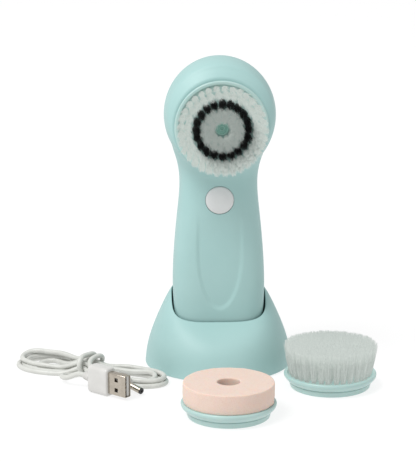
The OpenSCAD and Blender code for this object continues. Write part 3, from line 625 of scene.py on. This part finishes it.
# Elbow: turn, inner and outer radius, half width, squareness of the back and of the front
ELBOW_ROWS = [(0, 12, 46.2, 21.3, 2.3, 2.7), (20, 11.4, 49.4, 22.8, 2.2, 2.4),
              (38, 10.2, 56, 25.4, 2.1, 2.2), (54, 9.2, 65.6, 27.8, 2, 2), (70, 8.6, 72.4, 30.2, 2, 2),
              (87, 8.4, 68.2, 29.2, 2, 2)]
FACE_ROWS = [(3.5, 8.6, 65, 28.2, 2, 2), (7, 8.8, 60.6, 26, 2, 2)]
CAVITY_FOOT_ROW = (10, .5, 23.0, 17.4, 2.6, 4)
CAVITY_FACE_ROWS = [(1, 8.4, 67.4, 28.9, 2, 2)]
FACE_SOFT, FACE_HALF = 1.3, 26
PANEL = dict(half_w=12.0, low=36.0, middle=68.0, fade=(74.0, 93.0), depth=0.75, edge=2.2)


def section_rows(handle, face):
    """Every section as centre y, centre z, turn, half width, half depth and the two squarenesses."""
    rows = [(yc, z, 0.0, a, b, n, nf) for z, yc, a, b, n, nf in handle]
    for turn, inner, outer, a, n, nf in ELBOW_ROWS:
        t, m = math.radians(turn), (inner + outer) / 2
        rows.append((ELBOW_Y + m * math.cos(t), ELBOW_Z + m * math.sin(t), t, a, (outer - inner) / 2, n, nf))
    for s, inner, outer, a, n, nf in face:
        t, m = FACE_TURN, (inner + outer) / 2
        rows.append((ELBOW_Y - s * math.sin(t) + m * math.cos(t),
                     ELBOW_Z + s * math.cos(t) + m * math.sin(t), t, a, (outer - inner) / 2, n, nf))
    return np.array(rows)


def refine(rows, spacing):
    """Sections interpolated through the rows, about as far apart as the spacing on the outer side."""
    padded = np.vstack([2 * rows[0] - rows[1], rows, 2 * rows[-1] - rows[-2]])
    out = []
    for i in range(len(rows) - 1):
        p0, p1, p2, p3 = padded[i:i + 4]
        outer = [np.array([q[0] + q[4] * math.cos(q[2]), q[1] + q[4] * math.sin(q[2])]) for q in (p1, p2)]
        steps = max(3, int(np.linalg.norm(outer[1] - outer[0]) / spacing))
        for u in np.arange(steps) / steps:
            out.append(0.5 * (2 * p1 + (p2 - p0) * u + (2 * p0 - 5 * p1 + 4 * p2 - p3) * u * u
                              + (3 * p1 - p0 - 3 * p2 + p3) * u ** 3))
    return np.array(out + [rows[-1]])


def even_out(rows, spread=4, passes=3):
    """Takes small ripples out of the middle sections, and leaves the two ends as they are."""
    keep = np.clip((rows[:, 1] - 24) / 14, 0, 1) * np.clip(np.arange(len(rows))[::-1] / 14 - 0.4, 0, 1)
    for _ in range(passes):
        wide = np.pad(rows, ((spread, spread), (0, 0)), mode="edge")
        mean = sum(wide[k:k + len(rows)] for k in range(2 * spread + 1)) / (2 * spread + 1)
        rows = rows + (mean - rows) * keep[:, None]
    return rows


def section_ring(q, inset, count):
    """Points round one section, evenly spread in angle."""
    yc, zc, turn, a, b, back_n, front_n = q
    t = 2 * np.pi * np.arange(count) / count
    x, y = np.cos(t), np.sin(t)
    n = np.where(y < 0, front_n, back_n)
    a, b = a - inset, b - inset
    r = (np.abs(x / a) ** n + np.abs(y / b) ** n) ** (-1 / n)
    return np.column_stack([r * x, yc + r * y * math.cos(turn), zc + r * y * math.sin(turn)])


def press_panel(points):
    """Sinks the thumb panel into the front of the handle."""
    x, z = points[:, 0], points[:, 2]
    drop = np.maximum(0, PANEL["middle"] - z)
    tall = PANEL["middle"] - PANEL["low"]
    f = np.sqrt((x / PANEL["half_w"]) ** 2 + (drop / tall) ** 2) + 1e-9
    slope = np.sqrt((x / PANEL["half_w"] ** 2) ** 2 + (drop / tall ** 2) ** 2) / f + 1e-9
    inside = np.clip((1 - f) / slope / PANEL["edge"] + 0.5, 0, 1)
    start, stop = PANEL["fade"]
    fade = np.clip((stop - z) / (stop - start), 0, 1)
    ease = lambda v: v * v * (3 - 2 * v)
    points[:, 1] += np.where(points[:, 1] < 0, PANEL["depth"] * ease(inside) * ease(fade), 0)
    return points


def make_form(name, rows, inset, count, panel=False, soft_end=False):
    """A closed form through sections drawn in by the inset. soft_end rounds its last edge."""
    rings = [section_ring(q, inset, count) for q in rows]
    if soft_end:
        last, before = rings.pop(), rings.pop()
        middle = last.mean(axis=0)
        inner = middle + (last - middle) * (1 - FACE_SOFT / FACE_HALF)
        rings += [(1 - t) ** 2 * before + 2 * t * (1 - t) * last + t * t * inner
                  for t in np.linspace(0, 1, 7)]
    points = np.vstack(rings)
    if panel:
        points = press_panel(points)
    return build(name, points, ring_faces(len(rings), count))


def turn_cutter(profile, place, count=96):
    """A turned form to cut with."""
    return lathe("cutter", profile, None, place, count)


def screw_axis(x, z):
    """Lathe axis along +Y at one housing screw."""
    return lambda v: np.column_stack([x + v[:, 0], v[:, 2], z + v[:, 1]])


def groove_seam(obj, outer_tree, side):
    """A small chamfer along the joint between the two housings."""
    width = 0.22 * MM
    bm = bmesh.new()
    bm.from_mesh(obj.data)
    geom = bm.verts[:] + bm.edges[:] + bm.faces[:]
    bmesh.ops.bisect_plane(bm, geom=geom, plane_co=(0, SEAM_Y * MM + side * width, 0), plane_no=(0, 1, 0),
                           dist=1e-7)
    for v in bm.verts:
        if abs(v.co.y - SEAM_Y * MM) < 2e-6:
            _, normal, _, dist = outer_tree.find_nearest(v.co)
            if dist < 2e-5:
                v.co -= Vector((normal.x, 0, normal.z)).normalized() * width
    bm.to_mesh(obj.data)
    bm.free()


BUTTON_GAP = 0.15


def make_housings():
    """The hollow handle, cut along the seam into two covers, with its recess and its holes."""
    rows = even_out(refine(section_rows(HANDLE_ROWS, FACE_ROWS), 1.0))
    outer = make_form("front_cover", rows, 0, 240, panel=True, soft_end=True)
    inner_rows = refine(section_rows([CAVITY_FOOT_ROW] + HANDLE_ROWS[2:], CAVITY_FACE_ROWS), 3.0)
    cavity = make_form("cavity", inner_rows, WALL, 96)
    for x, z in SCREW_AT:
        carve(cavity, turn_cutter([(0.01, -30), (3.3, -30), (3.3, 40), (0.01, 40)], screw_axis(x, z), 32))
    bm = bmesh.new()
    bm.from_mesh(outer.data)
    tree = BVHTree.FromBMesh(bm)
    bm.free()
    carve(outer, cavity)
    lip = [(0.01, RECESS_S), (22.6, RECESS_S), (23, RECESS_S + 0.4), (23, RIM_S - 0.7),
           (23.12, RIM_S - 0.35), (23.4, RIM_S - 0.1), (23.8, RIM_S), (23.8, RIM_S + 12), (0.01, RIM_S + 12)]
    carve(outer, turn_cutter(lip, on_face, 192))
    carve(outer, turn_cutter([(0.01, -5), (5.2, -5), (5.2, 4), (0.01, 4)], on_face))
    hole = BUTTON_R + BUTTON_GAP
    carve(outer, turn_cutter([(0.01, 10), (hole, 10), (hole, 30), (0.01, 30)], on_front, 128))
    carve(outer, turn_cutter([(0.01, 7), (3.2, 7), (3.2, 12), (0.01, 12)], at((0, -4, 0)), 64))
    for x, z in SCREW_AT:
        carve(outer, turn_cutter([(0.01, -9), (1.5, -9), (1.5, 7), (2.5, 7), (2.5, 40), (0.01, 40)],
                                 screw_axis(x, z), 48))
    back = bpy.data.objects.new("rear_cover", outer.data.copy())
    bpy.context.scene.collection.objects.link(back)
    carve(outer, block("front_half", (-60, -120, 0), (60, SEAM_Y, 200)), "INTERSECT")
    carve(back, block("rear_half", (-60, SEAM_Y, 0), (60, 120, 200)), "INTERSECT")
    for obj, side, node in ((outer, -1, "front_housing"), (back, 1, "rear_housing")):
        groove_seam(obj, tree, side)
        soften(obj.data, 30)
        obj.data.materials.clear()
        obj.data.materials.append(MINT)
        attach(obj, "handset")
        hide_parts(node)


def make_button():
    """The round key, crowned with a shallow dip in the middle."""
    profile = [(0.01, 12.7), (9.0, 12.7), (9.0, 13.4), (BUTTON_R, 13.4), (BUTTON_R, 16.5)]
    profile += fillet((BUTTON_R, 17.35), (BUTTON_R, 16.5), (7.0, 17.62), 5)[1:]
    profile += [(r, BUTTON_TOP - 0.02 - 0.88 * (r / 7.0) ** 2.2 - 0.16 * math.exp(-(r / 2.6) ** 2))
                for r in (6.4, 5.6, 4.8, 4.0, 3.2, 2.4, 1.6, 0.8, 0.01)]
    button = lathe("power_key", profile, BUTTON, on_front, 128, angle=40)
    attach(button, "button")
    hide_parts("power_button")


# ---- Stand ----
BASE_R, FLARE, KNEE, SHOULDER_Z = 41.0, 0.445, 6.0, 11.0
SIDE_RIM, SLOPE, BACK_RIM, RIM_BLEND = 42.6, 0.68, 50.5, 4.5
POCKET_A, POCKET_B, POCKET_BACK_N, POCKET_FRONT_N = 25.9, 20.1, 2.6, 4
LIP_SOFT = 0.9


def bell_r(z):
    """The radius of the bell at that height."""
    return BASE_R - FLARE * KNEE * math.log1p(math.exp((z - SHOULDER_Z) / KNEE))


def bell_z(r):
    """The height at which the bell has that radius."""
    grow = math.expm1((BASE_R - r) / (FLARE * KNEE))
    return SHOULDER_Z + KNEE * math.log(max(grow, 1e-9))


def soft_min(a, b, k):
    """The smaller of two values, blended where they are close."""
    return min(a, b) - k * math.log1p(math.exp(-abs(a - b) / k))


def lip_z(y):
    """The height of the stand's cut top, which rises towards the back."""
    return soft_min(SIDE_RIM + SLOPE * y, BACK_RIM, 3)


def make_stand():
    """The bell with its cut top, a pocket for the handle and a shallow recess underneath."""
    count, steps = 256, 90
    columns = []
    for k in range(count):
        a = 2 * math.pi * k / count
        c, s = math.cos(a), math.sin(a)
        n = POCKET_FRONT_N if s < 0 else POCKET_BACK_N
        pocket = (abs(c / POCKET_A) ** n + abs(s / POCKET_B) ** n) ** (-1 / n)
        top = bell_z(pocket + LIP_SOFT)
        column = [(0.0, HANDSET_Z), (pocket * 0.5, HANDSET_Z), (pocket - 1.0, HANDSET_Z)]
        column += fillet((pocket, HANDSET_Z), (pocket - 1.0, HANDSET_Z), (pocket, HANDSET_Z + 1.0), 4)[1:]
        edge = pocket + LIP_SOFT
        edge_z = soft_min(top, lip_z(edge * s), RIM_BLEND)
        corner_z = soft_min(bell_z(pocket), lip_z(pocket * s), RIM_BLEND)
        column += [(pocket, HANDSET_Z + 1 + (corner_z - LIP_SOFT - HANDSET_Z - 1) * t)
                   for t in np.linspace(0, 1, 12)[1:-1]]
        column += fillet((pocket, corner_z), (pocket, corner_z - LIP_SOFT), (edge, edge_z), 8)
        for i in range(1, steps + 1):
            h = top + (1.0 - top) * (i / steps) ** 0.85
            r = bell_r(h)
            column.append((r, soft_min(h, lip_z(r * s), RIM_BLEND)))
        r_foot = bell_r(1.0)
        column += fillet((r_foot + 0.02, 0.4), (r_foot, 1.0), (r_foot - 0.6, 0.4), 4)[1:]
        column += [(38.1, 0.4), (38.0, 0.5), (38.0, 2.3), (20.0, 2.35), (0.0, 2.35)]
        columns.append([(r * c, r * s, z) for r, z in column])
    rings = np.array(columns).transpose(1, 0, 2)
    verts = rings.reshape(-1, 3)
    stand = build("stand_cover", verts, ring_faces(len(rings), count)[:-2], MINT, 40)
    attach(stand, "stand")
    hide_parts("stand_shell")


# ---- Heads ----
STRAND_R = 0.085
MOUNTED_TUFT_H, SPARE_TUFT_H = 14.3, 16.8
# Rings of the spare head: tufts, radius at the root and at the tip
SPARE_RINGS = [(33, 21.2, 22.6), (28, 18.0, 19.3), (23, 14.9, 15.9), (18, 11.8, 12.5), (13, 8.7, 9.1),
               (9, 5.6, 5.7), (4, 2.4, 2.3)]
SPONGE_H, SPONGE_R, SPONGE_HOLE_R = 10.6, 24.0, 6.0
# Outer side of a carrier, from its foot to its rim, as (radius, height, corner rounding)
BEAD_SIDE = [(FOOT_R - 0.5, 0.0, 0.8), (FOOT_R + 0.2, 3.0, 0.4), (FOOT_R - 0.4, 3.3, 0.1),
             (FOOT_R + 0.6, 3.5, 0.3), (HEAD_R, 6.0, 1.0), (HEAD_R, HEAD_H, 0.9)]


def make_carrier(name, node, body, place):
    """A foot, a wider ring, a rim on the front and a ring pocket with a D bore underneath."""
    bore, flat = 2.05, 1.55
    points = [(bore, 0.0, 0), (4.6, 0.0, 0.3), (4.6, 4.4, 0.3), (19.8, 4.4, 0.3), (19.8, 0.0, 0.4)]
    points += BEAD_SIDE
    points += [(HEAD_RECESS_R, HEAD_H, 0.5), (HEAD_RECESS_R, HEAD_FLOOR, 0.2), (bore, HEAD_FLOOR, 0)]
    profile = rounded_profile([p[:2] for p in points], [p[2] for p in points], 6)
    profile = [p for p in profile if p[0] > bore + 0.01]
    profile = [(bore, 0.0)] + profile + [(bore + 0.001, HEAD_FLOOR), (bore, 6.8)]
    d_rows = {0, len(profile) - 1, len(profile) - 2}

    def shape(index, radius, a):
        """Flattens one side of the bore."""
        if index not in d_rows:
            return radius
        c = math.cos(a)
        return min(radius, flat / c) if c > 0 else radius

    carrier = lathe(name, profile, MINT_HEAD, place, 160, closed=True, shape=shape, angle=35)
    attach(carrier, body)
    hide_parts(node)


def make_hub():
    """The small mint post in the middle of the mounted brush, with a faint painted glow that lifts it out of
    the bristles' shade.
    """
    floor_s = HEAD_S + HEAD_FLOOR
    points = [(0.01, -0.2), (3.6, -0.2), (3.6, 2.4), (2.9, 2.4), (2.7, 1.1), (1.7, 1.1), (1.6, 2.1),
              (0.9, 2.1), (0.85, 0.9), (0.01, 0.9)]
    radii = [0, 0, 0.5, 0.3, 0.25, 0.25, 0.3, 0.25, 0.2, 0]
    profile = [(r, s + floor_s) for r, s in rounded_profile(points, radii, 4)]
    hub = lathe("brush_post", profile, GLOWING_POST, on_face, 96, angle=40)
    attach(hub, "brush_head")
    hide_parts("brush_hub")


def tuft_ring(count, root_r, tip_r, root_half, tip_half, filaments, phase=0.0, jitter=0.12, seed=1):
    """One ring of tufts as (root centre, tip centre, root half width, tip half width, filaments)."""
    rng = np.random.default_rng(seed)
    out = []
    for k in range(count):
        a = 2 * math.pi * (k + phase) / count + rng.normal(0, 0.008)
        push = rng.normal(0, jitter, 2)
        out.append(((root_r * math.cos(a), root_r * math.sin(a)),
                    (tip_r * math.cos(a) + push[0], tip_r * math.sin(a) + push[1]),
                    root_half, tip_half, filaments))
    return out


def make_bristles(name, tufts, base, height, place, mat, seed, thick=0.1, ragged=0.35, spread=1.4,
                  stray=0.25):
    """Bunches of fine filaments, each a tapering three-sided strand that bends outward a little."""
    rng = np.random.default_rng(seed)
    levels = np.array([0.0, 0.55, 1.0])
    widths = np.array([1.0, 0.9, 0.55])
    chunks = []
    for root, tip, root_half, tip_half, count in tufts:
        radius = np.sqrt(rng.random(count))
        angle = rng.random(count) * 2 * np.pi
        disc = np.column_stack([radius * np.cos(angle), radius * np.sin(angle)])
        start = np.array(root) + disc * root_half
        end = np.array(tip) + disc * tip_half + rng.normal(0, stray, (count, 2))
        tall = height - np.abs(rng.normal(0, ragged, count)) - 0.25 * radius ** 2
        bow = rng.normal(0, 0.12, (count, 2))
        spin = rng.random(count) * 2 * np.pi
        for level, width in zip(levels, widths):
            centre = start + (end - start) * level ** spread + bow * math.sin(math.pi * level)
            z = base + tall * level
            for k in range(3):
                a = spin + 2 * np.pi * k / 3
                chunks.append(np.column_stack([centre[:, 0] + thick * width * np.cos(a),
                                               centre[:, 1] + thick * width * np.sin(a), z]))
    per = len(levels) * 3
    verts, faces, offset = [], [], 0
    for t in range(len(tufts)):
        part = np.stack(chunks[t * per:(t + 1) * per], axis=1)
        count = part.shape[0]
        verts.append(part.reshape(-1, 3))
        start = offset + np.arange(count) * per
        for level in range(len(levels) - 1):
            for k in range(3):
                n = (k + 1) % 3
                a, b = level * 3, (level + 1) * 3
                faces.append(np.column_stack([start + a + k, start + a + n, start + b + n, start + b + k]))
        top = (len(levels) - 1) * 3
        faces.append(np.column_stack([start + top, start + top + 1, start + top + 2, start + top + 2]))
        offset += count * per
    verts = place(np.vstack(verts))
    quads = np.vstack(faces)
    loops = [tuple(f[:3]) if f[2] == f[3] else tuple(f) for f in quads.tolist()]
    mesh = bpy.data.meshes.new(name)
    mesh.from_pydata((verts * MM).tolist(), [], loops)
    mesh.polygons.foreach_set("use_smooth", [True] * len(mesh.polygons))
    return add_object(name, mesh, mat)


def make_mounted_bristles():
    """Two outer rings of white tufts, a black ring and three pale rings round the hub."""
    floor_s = HEAD_S + HEAD_FLOOR
    white = tuft_ring(33, 21.4, 22.2, 1.2, 2.15, 160, seed=11)
    white += tuft_ring(28, 18.2, 18.7, 1.3, 2.8, 180, 0.5, seed=12)
    outer = make_bristles("outer_tufts", white, floor_s, MOUNTED_TUFT_H, on_face, GLOWING_FILAMENT, 21, STRAND_R)
    # Translucent in the photo: strands that cast shadows darken each other too much
    outer.visible_shadow = False
    dark = tuft_ring(20, 14.1, 13.7, 1.6, 2.2, 250, seed=13)
    black = make_bristles("black_tufts", dark, floor_s, MOUNTED_TUFT_H, on_face, BLACK_FILAMENT, 22,
                          STRAND_R, 0.7, 1.4, 0.4)
    pale = tuft_ring(15, 10.2, 9.7, 1.2, 2.4, 150, seed=14)
    pale += tuft_ring(11, 7.6, 7.2, 1.2, 2.3, 140, 0.4, seed=15)
    pale += tuft_ring(10, 5.3, 5.5, 1.0, 1.8, 120, 0.2, seed=16)
    inner = make_bristles("inner_tufts", pale, floor_s, MOUNTED_TUFT_H, on_face, GLOWING_FILAMENT, 23,
                          STRAND_R, 0.6, 1.2, 0.4)
    for obj, node, slot in ((outer, "outer_bristles", "bristle_white"),
                            (black, "black_bristles", "bristle_black"),
                            (inner, "inner_bristles", "bristle_white")):
        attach(obj, "brush_head")
        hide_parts(node)


def make_spare_bristles():
    """Rings of white tufts over the whole spare head."""
    tufts = []
    for k, (count, radius, tip_r) in enumerate(SPARE_RINGS):
        tufts += tuft_ring(count, radius, tip_r, 1.2, 2.6, 140, 0.5 * (k % 2), 0.2, seed=31 + k)
    spare = make_bristles("spare_tufts", tufts, HEAD_FLOOR, SPARE_TUFT_H, at(SPARE_AT), GLOWING_FILAMENT, 41,
                          STRAND_R, 0.12, 0.9, 0.35)
    spare.visible_shadow = False
    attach(spare, "spare_head")
    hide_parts("spare_bristles")


def make_sponge():
    """A cut foam ring, its faces slightly uneven and its edges barely rounded."""
    low, high, r, hole = HEAD_H, HEAD_H + SPONGE_H, SPONGE_R, SPONGE_HOLE_R
    points = [(hole, low), (r - 0.4, low), (r, low + 3), (r - 0.05, high - 3), (r - 0.1, high),
              (15.0, high), (hole, high), (hole, low + 5)]
    radii = [0, 0.5, 2.5, 2.5, 0.7, 3.0, 0.8, 0]
    profile = rounded_profile(points, radii, 6)
    fine = []
    for a, b in zip(profile, profile[1:]):
        steps = max(1, int(math.dist(a, b) / 0.8))
        fine += [(a[0] + (b[0] - a[0]) * k / steps, a[1] + (b[1] - a[1]) * k / steps) for k in range(steps)]
    sponge = lathe("foam_ring", fine + [profile[-1]], FOAM, at(SPONGE_AT), 200, closed=True, angle=60)
    texture = bpy.data.textures.new("foam_unevenness", "CLOUDS")
    texture.noise_scale = 0.006
    rough = sponge.modifiers.new("unevenness", "DISPLACE")
    rough.texture = texture
    rough.texture_coords = "LOCAL"
    rough.strength = 0.00035
    rough.mid_level = 0.5
    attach(sponge, "sponge_head")
    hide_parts("sponge_pad")


# ---- Pieces carried over from the CAD model ----
CARRIED = {
    "stand_base_plate": MINT_DEEP, "stand_feet": RUBBER, "stand_screws": STEEL, "housing_screws": STEEL,
    "tactile_switch": DARK, "circuit_board": BOARD, "board_components": DARK, "battery_cell": WRAP,
    "battery_tabs": SHAFT, "battery_cradle": FRAME_PLASTIC, "dc_jack_body": DARK, "dc_jack_pin": SHAFT,
    "motor_can": CAN, "motor_end_cap": DARK, "motor_magnets": MAGNET, "motor_leads": RED_LEAD,
    "motor_rotor": COPPER, "motor_pinion": BRASS, "gearbox_frame": FRAME_PLASTIC,
    "gearbox_rear_plate": FRAME_PLASTIC, "gearbox_screws": STEEL, "idler_shaft": SHAFT,
    "idler_gear": GEAR, "front_bushing": BRASS, "rear_bushing": BRASS, "output_gear": GEAR,
    "output_spindle": SHAFT, "spindle_clip": STEEL, "shaft_seal": RUBBER, "usb_tongue": WHITE_PLUG,
    "usb_contacts": BRASS,
}


def dress_carried():
    """Puts materials on the CAD pieces that are shown as they are."""
    for node, mat in CARRIED.items():
        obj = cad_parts[node]
        if not obj.material_slots:
            obj.data.materials.append(mat)
        for slot in obj.material_slots:
            slot.material = mat


make_camera()
cable, cable_exit = make_cable()
make_studio()
usb = make_usb_plug()
dc = make_dc_plug()
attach(cable, "stand")
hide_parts("cable_hank", "cable_usb_lead", "cable_dc_lead", "cable_tie")
make_housings()
make_button()
make_stand()
make_carrier("brush_carrier", "brush_head_base", "brush_head",
             lambda v: on_face(v + np.array([0, 0, HEAD_S])))
make_hub()
make_mounted_bristles()
make_carrier("sponge_carrier", "sponge_head_base", "sponge_head", at(SPONGE_AT))
make_sponge()
make_carrier("spare_carrier", "spare_head_base", "spare_head", at(SPARE_AT))
make_spare_bristles()
dress_carried()
